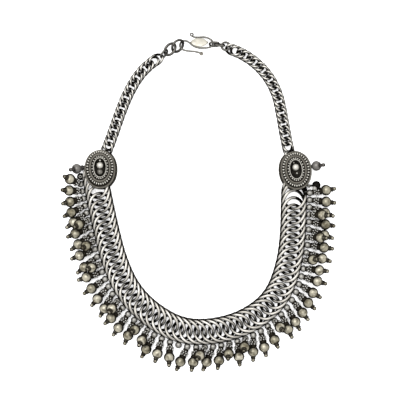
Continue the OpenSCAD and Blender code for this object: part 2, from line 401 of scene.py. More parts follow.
def band_colour(bench):
    """Painted light and shade: tops painted bright and sides dark, with noise for wear; painted shade,
    partly blackening, where a ring dips under the next and towards the band's two sides.
    """
    # The upward mask is painted light and shade: how far a face looks up, with a little noise for wear.
    top_light_and_wear = bench.attribute("top") + bench.waver(0.3, 700.0)
    layer = bench.attribute("layer")
    lit = layer + (0.6 - bench.attribute("edge")) * 0.8
    silver = bench.mix(bench.attribute("own"), BAND_DULL, BAND_BRIGHT)
    silver = bench.mix(lit.between(-0.05, 0.5), SHADE_AND_TARNISH_BLACK, silver)
    grey = bench.mix(layer.between(-0.3, 0.3), SHADE_AND_TARNISH_BLACK, BAND_SIDE_SHADE)
    return bench.mix(top_light_and_wear.between(0.7, 0.93), grey, silver)


def band_rough(bench):
    return 0.52 - bench.attribute("top").between(0.2, 0.9) * 0.06 + bench.waver(0.2, 2500.0)


def build_chain(name, node, spots, material, length, width, bend, wire, steps):
    """Saddle rings at some spots as one piece; "wire" is the wire's width and thickness."""
    build(
        name,
        spots_mesh(name + "_spots", spots),
        material,
        replaces=(node,),
        tree=saddle_rings,
        sizes={
            "Length": length * MM,
            "Width": width * MM,
            "Bend": bend * MM,
            "Wire Width": wire[0] * MM,
            "Wire Thickness": wire[1] * MM,
            "Steps": steps,
        },
    )


band_silver = metal("band_silver", band_colour, band_rough, grain=(1800.0,), sheen=0.9)
saddle_rings = saddle_ring_tree()
for side, numbers in BAND_SIDES.items():
    spots = []
    for number in numbers:
        place, heading, tilt = band_spot(number)
        spots.append((place, (0.0, tilt, heading)))
    build_chain(
        "band_rings_" + side, "band_" + side, spots, band_silver,
        RING_LENGTH, RING_WIDTH, RING_BEND, RING_WIRE, steps=56,
    )


# Straps
# A curb chain of round silver wire on each side, its links bent the other way from the
# band's rings, soldered shut and set in pairs. It runs into the open top of a medallion
# and lies flat to the clasp.

# A link pair starts every STRAP_PAIR along the course: its first link lies "first" after
# the course's start, and its second link "second" after the first.
STRAPS = {
    "left": {
        "start": (-54.8, 31.0, 69.0),
        "step": 15.0,
        "turns": (2.5, -3.5, -10, -21, -24),
        "links": 19,
        "first": 0.42,
        "second": 3.91,
    },
    "right": {
        "start": (54.6, 29.1, 103.0),
        "step": 15.0,
        "turns": (-3.5, 2, 19.5, 20, 19),
        "links": 22,
        "first": 2.2,
        "second": 3.04,
    },
}
STRAP_PAIR = 6.95
STRAP_HEIGHT = 1.85
STRAP_RISE = 1.05
STRAP_REACH = 25.0
LINK_LENGTH = 8.5
LINK_WIDTH = 5.7
LINK_BEND = -1.2
LINK_WIRE = (1.5, 1.2)
STRAP_SHADE = (0.009, 0.008, 0.007)
STRAP_DULL = (0.34, 0.327, 0.298)
STRAP_BRIGHT = (0.47, 0.455, 0.42)


def strap_colour(bench):
    """Painted light and shade: tops painted bright and sides dark, with noise for wear; painted shade,
    partly blackening, where a link dips under the next.
    """
    top_light_and_wear = bench.attribute("top") + bench.waver(0.15, 900.0)
    silver = bench.mix(bench.attribute("own"), STRAP_DULL, STRAP_BRIGHT)
    silver = bench.mix(bench.attribute("layer").between(-0.5, 0.15), SHADE_AND_TARNISH_BLACK, silver)
    return bench.mix(top_light_and_wear.between(0.74, 0.97), STRAP_SHADE, silver)


def wire_rough(bench):
    return 0.45 + bench.waver(0.25, 2500.0)


strap_silver = metal("strap_silver", strap_colour, wire_rough, grain=(2200.0,), sheen=0.9)
for side, strap in STRAPS.items():
    spots = []
    for number in range(strap["links"]):
        distance = strap["first"] + STRAP_PAIR * (number // 2) + strap["second"] * (number % 2)
        x, y, heading = walk(strap, distance)
        height, slope = rise(distance, STRAP_REACH, STRAP_RISE)
        place = Vector((x, y, STRAP_HEIGHT + height)) - MIDDLE
        spots.append((place, (0.0, -math.atan(slope), heading)))
    build_chain(
        "strap_links_" + side, "strap_" + side, spots, strap_silver,
        LINK_LENGTH, LINK_WIDTH, LINK_BEND, LINK_WIRE, steps=40,
    )


# Fringe
# One drop hangs on the outer wire of each band ring by a small loop. A drop is a small
# ball, a bead covered with granules, a hollow ball pressed from two halves, and a ribbed
# neck with a tip ball, all soldered to one stem. The silver has gone a warm olive grey.

# Degrees by which each drop leans along the band and lifts from the table.
DROP_LIES = (
    (-39, 53), (-15, 47), (4, 41), (17, 31), (26, 23), (18, 60), (11, 28), (24, 19),
    (18, 68), (8, 2), (23, 2), (1, 66), (-2, 2), (11, 5), (22, 4), (30, 5),
    (19, 65), (1, 32), (10, 6), (20, 6), (-27, 71), (4, 56), (1, 6), (10, 32),
    (19, 35), (0, 0), (-17, 2), (-11, 34), (-45, 63), (-30, 2), (-21, 34), (-24, 62),
    (-13, 33), (-39, 68), (-27, 2), (-19, 3), (-10, 35), (2, 69), (-23, 20), (-24, 6),
    (-21, 6), (-19, 2), (-12, 2), (0, 5), (9, 25), (29, 68), (-12, 5), (-2, 5),
    (5, 51), (-17, 5), (-8, 2), (-1, 47), (-19, 5), (-5, 5), (11, -1),
)
BARE_RING = 25
SMALL_BALL_OUT = 2.35
SMALL_BALL = 2.0
# Degrees above the bead's middle and number of granules of each row.
BEAD_ROWS = ((-50, 5), (-15, 7), (19, 7), (52, 5))
BEAD_SEAT = 1.02
BEAD_STAGGER = 0.35
# Painted shade at the rims of the drop's balls.
DROP_SHADE = (0.014, 0.012, 0.009)
DROP_STAIN = (0.065, 0.054, 0.032)
OLIVE_DULL = (0.215, 0.2, 0.15)
OLIVE_BRIGHT = (0.38, 0.358, 0.29)
SMALL_BALL_GREY = (0.26, 0.255, 0.24)
# Painted highlight on the tops of the granules.
GRANULE_HIGHLIGHT = (0.55, 0.54, 0.51)
LOOP_RING = 1.2
LOOP_WIRE = 0.3
WIRE_DARK = (0.014, 0.013, 0.012)
WIRE_DULL = (0.065, 0.062, 0.056)
WIRE_BRIGHT = (0.12, 0.115, 0.105)


def sphere(bench, segments, rings, radius):
    return bench.add(
        "GeometryNodeMeshUVSphere",
        sockets={"Segments": segments, "Rings": rings, "Radius": radius},
    )


def joined(bench, shapes):
    return bench.add("GeometryNodeJoinGeometry", sockets={0: shapes})


def ball(bench, radius, segments, rings, height, tone, squash=1.0):
    """Ball on a drop's axis with its tone, darker towards its two ends."""
    end = (bench.place(2) / radius).size().between(0.70, 0.98)
    shape = sphere(bench, segments, rings, radius)
    shape = keep_value(bench, shape, "tone", tone * (1.0 - end * 0.85))
    return bench.add("GeometryNodeTransform", sockets={
        "Geometry": shape,
        "Translation": (0.0, 0.0, height),
        "Scale": (1.0, 1.0, squash),
    })


def turned_stem(bench, low, high, radius, swell, ribs, tone, steps):
    """Round stem between two heights, swelling into ribs."""
    line = bench.add("GeometryNodeMeshLine", sockets={
        "Count": steps,
        "Start Location": (0.0, 0.0, low),
        "Offset": (0.0, 0.0, (high - low) / (steps - 1)),
    })
    wave = ((bench.place(2) - low) * (math.pi * ribs / (high - low))).math("SINE").size()
    shape = bench.add("GeometryNodeCurveToMesh", sockets={
        "Curve": bench.add("GeometryNodeMeshToCurve", sockets={"Mesh": line}),
        "Profile Curve": circle(bench, 12, 1.0),
        "Scale": wave * swell + radius,
        "Fill Caps": True,
    })
    return keep_value(bench, shape, "tone", tone)


def granulated_bead(bench, core, grain, height):
    """Dark ball set all round with rows of bright granules."""
    rows = []
    for latitude, count in BEAD_ROWS:
        angle = math.radians(latitude)
        row = bench.add("GeometryNodeMeshCircle", sockets={
            "Vertices": count,
            "Radius": core * math.cos(angle) * BEAD_SEAT,
        })
        rows.append(bench.add("GeometryNodeTransform", sockets={
            "Geometry": row,
            "Translation": (0.0, 0.0, height + core * math.sin(angle) * BEAD_SEAT),
            "Rotation": (0.0, 0.0, BEAD_STAGGER * latitude),
        }))
    granule = keep_value(bench, sphere(bench, 7, 5, grain), "tone", 1.3)
    granules = bench.add(
        "GeometryNodeInstanceOnPoints",
        sockets={"Points": joined(bench, rows), "Instance": granule},
    )
    return [ball(bench, core, 16, 10, height, tone=0.12), granules]


def small_ball(bench, given):
    return ball(bench, given["Small Ball"], 16, 10, height=0.0, tone=1.05)


def drop_tree():
    """Whole drops, each from its small ball outwards, one at each spot."""
    bench, given = new_tree("drops", {
        "Small Ball": SMALL_BALL * MM,
        "Granule": 0.0006,
        "Large Ball": 0.00325,
        "Tip": 0.00125,
    })
    whole = joined(bench, [
        small_ball(bench, given),
        # The two stems between the balls are toned near black, as painted shade between the balls.
        turned_stem(bench, 0.0012, 0.0032, radius=0.0014, swell=0.0003, ribs=1, tone=0.05, steps=9),
        *granulated_bead(bench, core=0.002, grain=given["Granule"], height=0.0044),
        turned_stem(bench, 0.0056, 0.0074, radius=0.0018, swell=0.0004, ribs=1, tone=0.05, steps=9),
        ball(bench, given["Large Ball"], 26, 16, height=0.0098, tone=0.8, squash=0.97),
        turned_stem(bench, 0.0122, 0.0142, radius=0.0012, swell=0.0004, ribs=2, tone=0.2, steps=13),
        ball(bench, given["Tip"], 14, 9, height=0.0149, tone=0.42),
    ])
    return set_out(bench, given, whole)


def small_ball_tree():
    """The small ball alone, for the ring that carries no drop."""
    bench, given = new_tree("small balls", {"Small Ball": SMALL_BALL * MM})
    return set_out(bench, given, small_ball(bench, given))


def drop_colour(bench):
    """By tone: olive with brown stains, then grey, then a painted highlight on the granules' upward faces;
    balls are painted dark as shade towards their rims.
    """
    tone = bench.attribute("tone")
    top = bench.attribute("top")
    stain = bench.mottle(420.0).between(0.45, 0.66)
    silver = bench.mix(bench.attribute("own"), OLIVE_DULL, OLIVE_BRIGHT)
    silver = bench.mix(stain * 0.8, silver, DROP_STAIN)
    silver = bench.mix(tone.between(0.85, 1.1), silver, SMALL_BALL_GREY)
    # Painted highlight where a granule faces up.
    painted_highlight = tone.between(1.15, 1.3) * top.between(0.72, 0.99)
    silver = bench.mix(painted_highlight, silver, GRANULE_HIGHLIGHT)
    # Painted shade: a ball darkens as its faces turn away from up, down to a dark rim.
    shade = tone * top.between(0.35, 1.0) + bench.waver(0.4, 1500.0, 5.0)
    return bench.mix(shade.between(0.1, 0.55), DROP_SHADE, silver)


def drop_rough(bench):
    return 0.42 + bench.waver(0.3, 1200.0)


def beside_band(number, beyond):
    """Point beyond the outer wire of a band ring, with the ring's heading and tilt."""
    place, heading, tilt = band_spot(number)
    out = Vector((math.sin(heading), -math.cos(heading), 0.0))
    return place + out * (RING_WIDTH / 2 + beyond), heading, tilt


def drop_spot(number):
    """Middle of a drop's small ball and how the drop is turned."""
    place, heading, tilt = beside_band(number, SMALL_BALL_OUT)
    lean, lift = DROP_LIES[number]
    return place, (math.radians(90 - lift), 0.0, heading + math.radians(lean))


drop_silver = metal("drop_silver", drop_colour, drop_rough, grain=(1300.0, 5.0), sheen=0.75)
drops = drop_tree()
for side, numbers in BAND_SIDES.items():
    spots = [drop_spot(number) for number in numbers if number != BARE_RING]
    build(
        "fringe_drops_" + side,
        spots_mesh("fringe_" + side + "_spots", spots),
        drop_silver,
        replaces=("fringe_" + side,),
        tree=drops,
    )
build(
    "fringe_bare_ball",
    spots_mesh("fringe_bare_spot", [drop_spot(BARE_RING)]),
    drop_silver,
    tree=small_ball_tree(),
)


def wire_ring_tree():
    """Round rings of round wire, or long links where "Straight" is more than 0."""
    bench, given = new_tree("wire rings", {
        "Ring": 0.001,
        "Straight": 0.0,
        "Wire": 0.0002,
        "Steps": 32,
        "Sides": 8,
    })
    shift = bench.vector(bench.place(0).math("SIGN") * given["Straight"] * 0.5, 0.0, 0.0)
    line = bench.add("GeometryNodeSetPosition", sockets={
        "Geometry": circle(bench, given["Steps"], given["Ring"]),
        "Offset": shift,
    })
    return set_out(bench, given, sweep(bench, line, circle(bench, given["Sides"], given["Wire"])))


def wire_colour(bench):
    """Dark silver wire with patches of wear; faces that look up are painted lighter and sides darker as
    painted shade.
    """
    top_light_and_wear = bench.attribute("top") + bench.waver(0.8, 900.0, 4.0)
    silver = bench.mix(bench.attribute("own"), WIRE_DULL, WIRE_BRIGHT)
    return bench.mix(top_light_and_wear.between(0.4, 1.0), WIRE_DARK, silver)


def build_rings(name, spots, ring, wire, steps, sides, straight=0.0, replaces=()):
    """Rings or links of dark wire at some spots as one piece."""
    build(
        name,
        spots_mesh(name + "_spots", spots),
        wire_silver,
        replaces=replaces,
        tree=wire_rings,
        sizes={
            "Ring": ring * MM,
            "Straight": straight * MM,
            "Wire": wire * MM,
            "Steps": steps,
            "Sides": sides,
        },
    )


wire_silver = metal("wire_silver", wire_colour, wire_rough, grain=(2200.0,), sheen=0.9)
wire_rings = wire_ring_tree()
# The loops stand across the ring's wire, which climbs at this slope on its outer side.
stand = math.pi / 2 + math.atan(4 * RING_BEND / RING_LENGTH)
for side, numbers in BAND_SIDES.items():
    spots = []
    for number in numbers:
        place, heading, tilt = beside_band(number, 0.0)
        spots.append((place, (0.0, stand + tilt, heading)))
    build_rings(
        "fringe_loops_" + side, spots, LOOP_RING, LOOP_WIRE, steps=24, sides=6
    )


# Dark beads
# A blackened silver bead hangs by a loop on the first and the last ring of the band, next
# to the medallion. The left one is a pierced ball; the right one has a small pale ball
# soldered to it.
LEFT_BEAD = (-70.5, 14.9, 2.9)
LEFT_BEAD_HANGER = (-68.93, 14.92, 4.52)
# Height, radius and tone of the rim round the left bead's hole.
PIERCED_RIM = ((1.9, 0.9, 0.1), (2.3, 0.9, 0.7), (2.35, 0.55, 0.6), (1.9, 0.5, 0.0))
RIGHT_BEAD = (66.4, 9.3, 2.6)
RIGHT_BEAD_HANGER = (64.95, 9.45, 2.1)
RIGHT_BEAD_TURNS = (0, 52, 7)
BEAD_LOOP_RING = 1.14
BEAD_LOOP_WIRE = 0.2
BEAD_BLACK = (0.006, 0.0055, 0.005)
BEAD_PALE = (0.42, 0.41, 0.38)


class Shape:
    """Collects skinned rows of points, each point with a tone from dark to bright."""

    def __init__(self):
        self.points = []
        self.faces = []
        self.tones = []

    def skin(self, rows, tones):
        """Joins rows of points to a body that is closed at both ends."""
        first = len(self.points)
        around = len(rows[0])
        for row, tone in zip(rows, tones):
            self.points.extend(row)
            self.tones.extend([tone] * around)
        for number in range(len(rows) - 1):
            low = first + number * around
            high = low + around
            for step in range(around):
                after = (step + 1) % around
                self.faces.append((low + step, low + after, high + after, high + step))
        self.faces.append(tuple(range(first, first + around)))
        self.faces.append(tuple(range(len(self.points) - around, len(self.points))))

    def turned(self, matrix, profile, around):
        """Round shape from heights, radii and tones along the z axis of a place."""
        rows = []
        for height, radius, tone in profile:
            row = []
            for step in range(around):
                angle = 2 * math.pi * step / around
                row.append(matrix @ Vector((radius * math.cos(angle), radius * math.sin(angle), height)))
            rows.append(row)
        self.skin(rows, [tone for height, radius, tone in profile])

    def ball(self, matrix, radius, tone, around=24):
        """Ball with a tiny flat at each pole."""
        profile = []
        rows = around // 2
        for number in range(rows + 1):
            angle = math.pi * (number + 0.02) / (rows + 0.04)
            profile.append((-radius * math.cos(angle), radius * math.sin(angle), tone))
        self.turned(matrix, profile, around)

    def rod(self, start, end, radius, tone):
        """Plain round rod between two points of the drawing."""
        line = Vector(end) - Vector(start)
        turn = line.to_track_quat("Z", "Y").to_matrix().to_4x4()
        matrix = Matrix.Translation(Vector(start) - MIDDLE) @ turn
        self.turned(matrix, [(0, radius, tone), (line.length, radius, tone)], 12)

    def mesh(self, name):
        """Smooth mesh whose faces point outwards, with the values that the metals read."""
        mesh = bpy.data.meshes.new(name)
        mesh.from_pydata([point * MM for point in self.points], [], self.faces)
        tone = mesh.attributes.new("tone", "FLOAT", "POINT")
        tone.data.foreach_set("value", self.tones)
        work = bmesh.new()
        work.from_mesh(mesh)
        bmesh.ops.recalc_face_normals(work, faces=work.faces)
        work.to_mesh(mesh)
        work.free()
        top = mesh.attributes.new("top", "FLOAT", "POINT")
        top.data.foreach_set("value", [normal.vector.z for normal in mesh.vertex_normals])
        mesh.shade_smooth()
        return mesh


def radians_of(*angles):
    return tuple(math.radians(angle) for angle in angles)


def place_at(x, y, z, turns=(0.0, 0.0, 0.0)):
    """Matrix of a place in the drawing, in millimetres and degrees."""
    turn = Euler(radians_of(*turns)).to_matrix().to_4x4()
    return Matrix.Translation(Vector((x, y, z)) - MIDDLE) @ turn


def point_at(x, y, z):
    return place_at(x, y, z).to_translation()


def band_loop(number, angle):
    """Place and turn of a loop round a band ring's wire, at an angle from its outer side."""
    place, heading, tilt = band_spot(number)
    angle = math.radians(angle)
    spot = Vector((
        RING_LENGTH / 2 * math.sin(angle),
        -RING_WIDTH / 2 * math.cos(angle),
        -RING_BEND * math.sin(2 * angle),
    ))
    along = Vector((
        RING_LENGTH / 2 * math.cos(angle),
        RING_WIDTH / 2 * math.sin(angle),
        -2 * RING_BEND * math.cos(2 * angle),
    )).normalized()
    ring = Matrix.Translation(place) @ Euler((0.0, tilt, heading)).to_matrix().to_4x4()
    turn = Euler((0.0, math.acos(along.z), math.atan2(along.y, along.x))).to_matrix().to_4x4()
    whole = ring @ Matrix.Translation(spot) @ turn
    return whole.to_translation(), tuple(whole.to_euler())


def black_colour(bench):
    tone = bench.attribute("tone") + bench.waver(0.3, 1400.0, 4.0)
    return bench.mix(tone.between(0.1, 0.95), BEAD_BLACK, BEAD_PALE)


def black_rough(bench):
    return 0.34 + bench.waver(0.3, 1500.0)


dark_bead = metal("dark_bead", black_colour, black_rough, grain=(1500.0,), sheen=0.6)
left_bead = Shape()
left_bead.rod(LEFT_BEAD_HANGER, LEFT_BEAD, radius=0.35, tone=0.3)
left_bead.ball(place_at(*LEFT_BEAD), radius=2.2, tone=0.08)
left_bead.turned(place_at(*LEFT_BEAD), PIERCED_RIM, around=18)

right_bead = Shape()
right_bead.rod(RIGHT_BEAD_HANGER, RIGHT_BEAD, radius=0.4, tone=0.3)
stem = place_at(*RIGHT_BEAD, RIGHT_BEAD_TURNS)
right_bead.ball(stem, radius=1.1, tone=0.5, around=16)
right_bead.turned(stem, ((0, 0.6, 0.3), (5, 0.6, 0.2)), around=12)
right_bead.ball(stem @ Matrix.Translation((0, 0, 5.2)), radius=2.5, tone=0.04)
right_bead.ball(stem @ Matrix.Translation((-2, -1.8, 4.9)), radius=1.3, tone=0.6, around=18)

for side, bead in (("left", left_bead), ("right", right_bead)):
    build(
        "black_ball_" + side,
        bead.mesh("black_" + side),
        dark_bead,
        replaces=("dark_bead_" + side,),
    )
spots = [band_loop(0, -22.5), band_loop(BAND_RINGS - 1, 22.5)]
build_rings(
    "dark_bead_loops", spots, BEAD_LOOP_RING, BEAD_LOOP_WIRE, steps=24, sides=6
)


# Medallions
# Each end of the band hangs under an oval medallion of oxidised silver: a back plate, a
# wall, and a stamped front plate with soldered granules and half balls. Round eyes under
# the front plate hold the band's end ring, the strap and a side drop.

# "mouth" tells from where to where the wall is open for the strap, and "up" how far the
# frame and hollow sit above the middle. "balls" gives x, y, radius and tone of each half
# ball, and "eyes" the middle of each eye, its heading and its dip in degrees.
MEDALLIONS = {
    "left": {
        "place": (-58.5, 19.2, 0.0),
        "turn": 0.0,
        "mouth": (-1, 8.2),
        "up": 0.9,
        "balls": ((0, 2.3, 2.1, 0.9), (0, -1.5, 1.75, 0.68), (0, 5.2, 0.6, 0.85)),
        "eyes": (
            ((-63.2, 22, 3.6), 11, 32),
            ((-56, 27.8, 3.2), -21, 42),
            ((-65.8, 20.7, 2.6), 90, 0),
        ),
    },
    "right": {
        "place": (58.3, 18.5, 0.0),
        "turn": 7.0,
        "mouth": (-8.2, 1.8),
        "up": 0.5,
        "balls": ((0, 1.9, 2.1, 0.9), (0.3, -1.7, 0.6, 0.8), (-0.8, 4.7, 0.6, 0.7)),
        "eyes": (
            ((57.8, 15.5, 3.6), -2, 32),
            ((55.1, 27.1, 3.2), 13, 42),
            ((63.02, 20.29, 2.9), 97, 0),
        ),
    },
}
# Half width, half length, height and tone of each oval, and what it is part of: 0 for the
# outer edge, 1 for the frame between the granules, 2 for the hollow.
BACK_ROWS = (
    (0.2, 0.2, 0.0, 0.2, 0), (9.6, 11.7, 0.0, 0.2, 0), (9.9, 12.0, 0.15, 0.4, 0),
    (9.9, 12.0, 0.5, 0.55, 0), (9.75, 11.85, 0.6, 0.6, 0), (9.5, 11.6, 0.55, 0.3, 0),
    (0.2, 0.2, 0.55, 0.1, 0),
)
FRONT_ROWS = (
    (0.2, 0.2, 6.4, 0.1, 0), (9.05, 11.2, 6.4, 0.1, 0), (9.25, 11.4, 6.55, 0.35, 0),
    (9.25, 11.4, 7.3, 0.5, 0), (9.2, 11.35, 7.6, 0.6, 0), (9.0, 11.15, 7.7, 0.64, 0),
    (8.8, 10.95, 7.6, 0.6, 0), (8.7, 10.85, 7.4, 0.4, 0), (8.5, 10.7, 7.4, 0.5, 0),
    (8.42, 10.62, 7.45, 0.58, 0), (8.3, 10.5, 7.45, 0.55, 0), (8.2, 10.4, 7.2, 0.06, 0),
    (6.95, 9.05, 7.2, 0.06, 1), (6.85, 8.95, 7.45, 0.3, 1), (6.1, 8.2, 7.5, 0.36, 1),
    (5.85, 7.95, 7.5, 0.6, 1), (5.55, 7.65, 7.5, 0.6, 1), (5.4, 7.5, 7.3, 0.08, 1),
    (4.0, 6.0, 7.2, 0.1, 2), (3.9, 5.9, 7.4, 0.8, 2), (3.6, 5.6, 7.4, 0.8, 2),
    (3.4, 5.4, 6.8, 0.12, 2), (0.2, 0.2, 6.75, 0.14, 2),
)
HOLLOW_UP = 0.2
HOLLOW_FLOOR = 6.7
OVAL_FULL = 0.94
AROUND = 96
WALL_OVAL = (8.5, 10.9)
# The corners of the wall's section: how far inside its oval, and height.
WALL_SECTION = ((0.4, 0.3), (-0.4, 0.3), (-0.4, 6.48), (0.4, 6.48))
# The wall stands only round the upper end, and its mouth lies higher up still.
WALL_FROM = 3.6
MOUTH_FROM = 6
EYE_RING = 1.3
EYE_WIRE = 0.35
POST = 0.3
FRONT_UNDERSIDE = 6.45
BACK_TOP = 0.5
# An eye above this height hangs from the front plate, a lower one stands on the back plate.
HANGING_EYE = 2.7
GRANULE_HEIGHT = 7.3
# Name, number of granules, half width and half length of the row, its shift beyond "up",
# and the granule's length, width and height.
GRANULE_ROWS = (
    ("outer", 36, 7.5, 9.6, 0.0, (1.45, 0.9, 0.9)),
    ("inner", 24, 4.6, 6.6, 0.2, (0.95, 0.85, 0.8)),
)
MEDALLION_BLACK = (0.007, 0.006, 0.005)
MEDALLION_GREY = (0.088, 0.082, 0.07)
MEDALLION_BRIGHT = (0.46, 0.447, 0.405)


def oval_point(a, b, angle):
    """Point of an oval with full ends."""
    across = math.cos(angle)
    along = math.sin(angle)
    return (
        a * math.copysign(abs(across) ** OVAL_FULL, across),
        b * math.copysign(abs(along) ** OVAL_FULL, along),
    )


def oval_rows(matrix, rows, up):
    """Oval rows of points; the rows of the frame and the hollow sit above the middle."""
    shifts = (0.0, up, up + HOLLOW_UP)
    made = []
    for a, b, z, tone, belongs in rows:
        row = []
        for step in range(AROUND):
            x, y = oval_point(a, b, 2 * math.pi * step / AROUND)
            row.append(matrix @ Vector((x, y + shifts[belongs], z)))
        made.append(row)
    return made


def wall_runs(matrix, mouth):
    """Stretches of the upper wall on either side of the strap's mouth."""
    runs = [[]]
    for step in range(AROUND):
        angle = math.pi * (step + 0.5) / AROUND
        x, y = oval_point(*WALL_OVAL, angle)
        if y <= WALL_FROM or (y > MOUTH_FROM and mouth[0] < x < mouth[1]):
            runs.append([])
            continue
        section = []
        for inset, z in WALL_SECTION:
            wide, deep = oval_point(WALL_OVAL[0] - inset, WALL_OVAL[1] - inset, angle)
            section.append(matrix @ Vector((wide, deep, z)))
        runs[-1].append(section)
    return [run for run in runs if len(run) > 1]


def half_ball(radius, tone):
    """Heights, radii and tones of a half ball that is dark at its foot."""
    profile = [(0.0, radius * 1.06, 0.05)]
    for number in range(9):
        angle = math.pi / 2 * number / 8.2
        shade = tone * min(1.0, 0.25 + number / 4)
        profile.append((radius * math.sin(angle) + 0.05, radius * math.cos(angle), shade))
    return profile


def medallion_plates(name, facts):
    """Back plate, wall, front plate, half balls and the posts of the eyes in one mesh."""
    shape = Shape()
    matrix = place_at(*facts["place"], (0, 0, facts["turn"]))
    shape.skin(oval_rows(matrix, BACK_ROWS, 0.0), [row[3] for row in BACK_ROWS])
    shape.skin(oval_rows(matrix, FRONT_ROWS, facts["up"]), [row[3] for row in FRONT_ROWS])
    for run in wall_runs(matrix, facts["mouth"]):
        shape.skin(run, [0.3] * len(run))
    for x, y, radius, tone in facts["balls"]:
        spot = matrix @ Matrix.Translation((x, y, HOLLOW_FLOOR))
        shape.turned(spot, half_ball(radius, tone), 28)
    for spot, heading, dip in facts["eyes"]:
        over = EYE_RING * math.cos(math.radians(dip))
        aside = EYE_RING * math.sin(math.radians(dip))
        if spot[2] > HANGING_EYE:
            foot = place_at(*spot, (0, 0, heading)) @ Matrix.Translation((aside, 0, over))
            ends = (0, FRONT_UNDERSIDE - spot[2] - over)
        else:
            foot = place_at(*spot)
            ends = (BACK_TOP - spot[2], -over)
        shape.turned(foot, [(end, POST, 0.2) for end in ends], 10)
    return shape.mesh(name)


def granule_tree():
    """Small oval granules, one at each spot, bright on top and dark where they sit."""
    bench, given = new_tree("granules", {"Long": 0.0009, "Wide": 0.0006, "Tall": 0.0008})
    shape = keep_value(bench, sphere(bench, 10, 7, 0.5), "tone", bench.place(2).between(-0.1, 0.42))
    size = bench.vector(given["Long"], given["Wide"], given["Tall"])
    shape = bench.add("GeometryNodeTransform", sockets={"Geometry": shape, "Scale": size})
    return set_out(bench, given, shape)


def granule_spots(facts, count, a, b, up):
    """Spots of an oval row of granules, each turned outwards."""
    matrix = place_at(*facts["place"], (0, 0, facts["turn"]))
    spots = []
    for number in range(count):
        angle = 2 * math.pi * (number + 0.5) / count
        spot = matrix @ Vector((a * math.cos(angle), b * math.sin(angle) + up, GRANULE_HEIGHT))
        outward = math.atan2(math.sin(angle) / b, math.cos(angle) / a)
        spots.append((spot, (0.0, 0.0, outward + math.radians(facts["turn"]))))
    return spots


def medallion_colour(bench):
    """Black in the grooves, grey on the plates, bright on granules and half balls; faces that turn away
    from up are painted darker as shade.
    """
    tone = bench.attribute("tone") * (bench.attribute("top").between(-0.6, 0.7) * 0.6 + 0.4)
    tone = tone + bench.waver(0.3, 700.0, 4.0)
    low = bench.mix(tone.between(0.05, 0.6), MEDALLION_BLACK, MEDALLION_GREY)
    return bench.mix(tone.between(0.6, 0.9), low, MEDALLION_BRIGHT)


def medallion_rough(bench):
    return 0.46 + bench.waver(0.3, 1500.0)


medallion_silver = metal(
    "medallion_silver", medallion_colour, medallion_rough, grain=(1600.0, 5.0), sheen=0.85
)
granules = granule_tree()
for side, facts in MEDALLIONS.items():
    build(
        "medallion_plates_" + side,
        medallion_plates("plates_" + side, facts),
        medallion_silver,
        replaces=("medallion_" + side,),
    )
    for row, count, a, b, up, (long, wide, tall) in GRANULE_ROWS:
        build(
            "medallion_" + side + "_" + row + "_granules",
            spots_mesh(side + row, granule_spots(facts, count, a, b, facts["up"] + up)),
            medallion_silver,
            tree=granules,
            sizes={"Long": long * MM, "Wide": wide * MM, "Tall": tall * MM},
        )
    spots = [
        (point_at(*spot), radians_of(0, 90 + dip, heading))
        for spot, heading, dip in facts["eyes"]
    ]
    name = "medallion_" + side + "_eyes"
    build_rings(name, spots, EYE_RING, EYE_WIRE, steps=28, sides=8)


# Side drops
# One drop like those of the fringe stands out from the side of each medallion. It is
# soldered up from silver balls and stems, and its bead hangs on an eye by a loop.
# The two are greyer than the fringe.

# Middle of the loop, and degrees of turn and of lean from upright.
SIDE_DROPS = {
    "left": ((-67.1, 20.7, 2.6), 193.0, 38.0),
    "right": ((64.357, 20.453, 2.9), 7.0, 49.0),
}
SIDE_BEAD_OUT = 2.4
SIDE_LOOP_RING = 0.98
SIDE_LOOP_WIRE = 0.25
SIDE_DARK = (0.022, 0.020, 0.018)
SIDE_GREY = (0.14, 0.133, 0.125)


def side_drop_tree():
    """Side drops, each from its bead outwards, one at each spot."""
    bench, given = new_tree("side drops", {"Large Ball": 0.003, "Tip": 0.0012, "Granule": 0.00042})
    whole = joined(bench, [
        *granulated_bead(bench, core=0.00145, grain=given["Granule"], height=0.0),
        turned_stem(bench, 0.0013, 0.0026, radius=0.0009, swell=0.0002, ribs=1, tone=0.25, steps=9),
        ball(bench, given["Large Ball"], 28, 18, height=0.005, tone=0.7, squash=0.97),
        turned_stem(bench, 0.0076, 0.0094, radius=0.0009, swell=0.0002, ribs=2, tone=0.3, steps=13),
        ball(bench, given["Tip"], 14, 9, height=0.0101, tone=0.5),
    ])
    return set_out(bench, given, whole)


def side_colour(bench):
    # Painted shade: the tone darkens on faces that turn away from up, with noise.
    tone = bench.attribute("tone") * bench.attribute("top").between(-0.25, 0.75)
    tone = tone + bench.waver(0.3, 900.0, 4.0)
    return bench.mix(tone.between(0.1, 0.8), SIDE_DARK, SIDE_GREY)


side_silver = metal("side_silver", side_colour, drop_rough, grain=(1300.0, 5.0), sheen=0.8)
side_drops = side_drop_tree()
for side, (spot, turn, lean) in SIDE_DROPS.items():
    bead = place_at(*spot, (0, 0, turn)) @ Vector((SIDE_BEAD_OUT, 0.0, 0.0))
    build(
        "side_balls_" + side,
        spots_mesh("side_" + side, [(bead, radians_of(0, lean, turn))]),
        side_silver,
        replaces=("side_drop_" + side,),
        tree=side_drops,
    )
    name = "side_drop_loop_" + side
    spots = [(point_at(*spot), (0.0, 0.0, 0.0))]
    build_rings(name, spots, SIDE_LOOP_RING, SIDE_LOOP_WIRE, steps=24, sides=8)


# Clasp rings and links
# The straps end in plain rings and long links of round silver wire, bent and soldered
# shut. Two rings on the left carry the hook; two long links and a small ring on the right
# take it.

